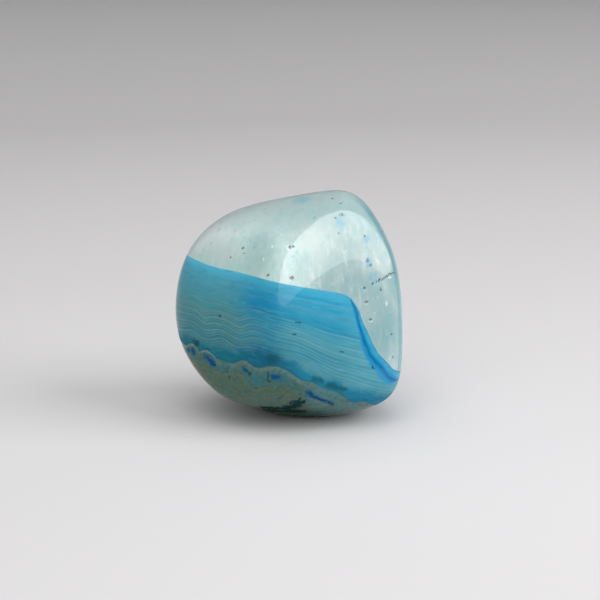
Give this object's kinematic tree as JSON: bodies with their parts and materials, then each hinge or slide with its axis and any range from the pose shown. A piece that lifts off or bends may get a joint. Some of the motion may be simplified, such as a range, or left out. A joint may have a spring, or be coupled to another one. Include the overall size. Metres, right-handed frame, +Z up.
{
  "type": "agate stone",
  "caption": "Tumbled and polished agate stone with soft-edged ground faces and a small flat it stands on; blue dyed bands under a clear pale cap.",
  "frame": {"origin": "centre of the bounding box at its bottom, on the plane of the small flat that the stone stands on", "axes": "+Z up as the stone stands; -Y towards the side that shows the bands and the two front faces; +X to the right seen from there"},
  "size_m": [0.025, 0.0212, 0.0248],
  "materials": {
    "polished_agate": "glossy tumbled polish, translucent, dyed blue in bands"
  },
  "bodies": {
    "root": {"agate_stone": "polished_agate"}
  },
  "joints": []
}
